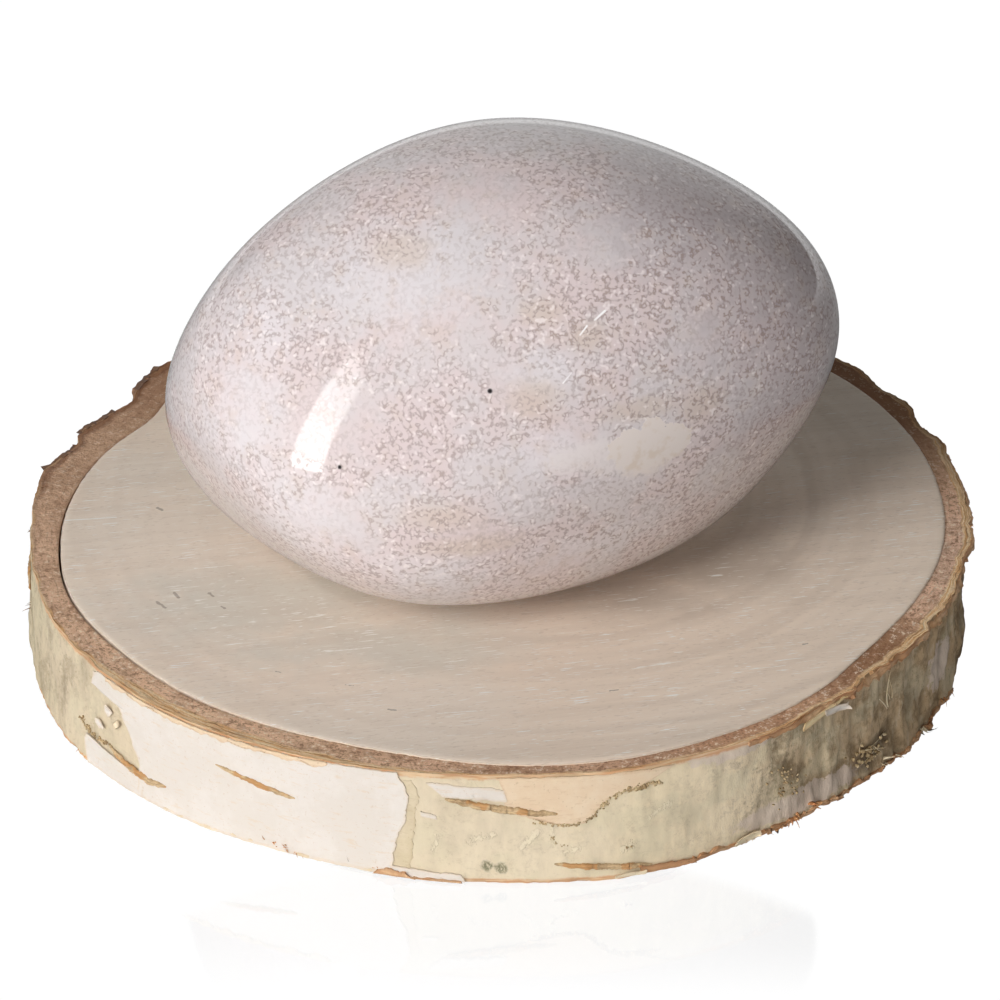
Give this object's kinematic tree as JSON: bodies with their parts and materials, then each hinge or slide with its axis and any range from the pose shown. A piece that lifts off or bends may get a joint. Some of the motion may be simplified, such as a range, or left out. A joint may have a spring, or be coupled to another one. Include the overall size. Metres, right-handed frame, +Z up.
{
  "type": "tumbled jasper",
  "caption": "Palm-sized tumbled jasper, a polished speckled egg-like stone, lying on a sawn slice of a birch branch with its bark on.",
  "frame": {"origin": "middle of the slice's underside, on the surface that the slice lies on", "axes": "+Z up, out of the slice's sawn face; +X along the stone to its lifted, narrower end; +Y to the back, away from the side where the bark is thinnest"},
  "size_m": [0.0646, 0.0648, 0.0384],
  "materials": {
    "jasper": "tumbled to a high gloss; pale pinkish grey, finely speckled in grey brown, with a few clear pale patches",
    "birch_wood": "dry sawn end grain, sanded, matt",
    "birch_bark": "dry birch bark, matt: white and pinkish paper, greenish beige under-layer and grey rough bark"
  },
  "bodies": {
    "root": {"jasper_stone": "jasper", "birch_slice": "birch_wood"}
  },
  "joints": []
}
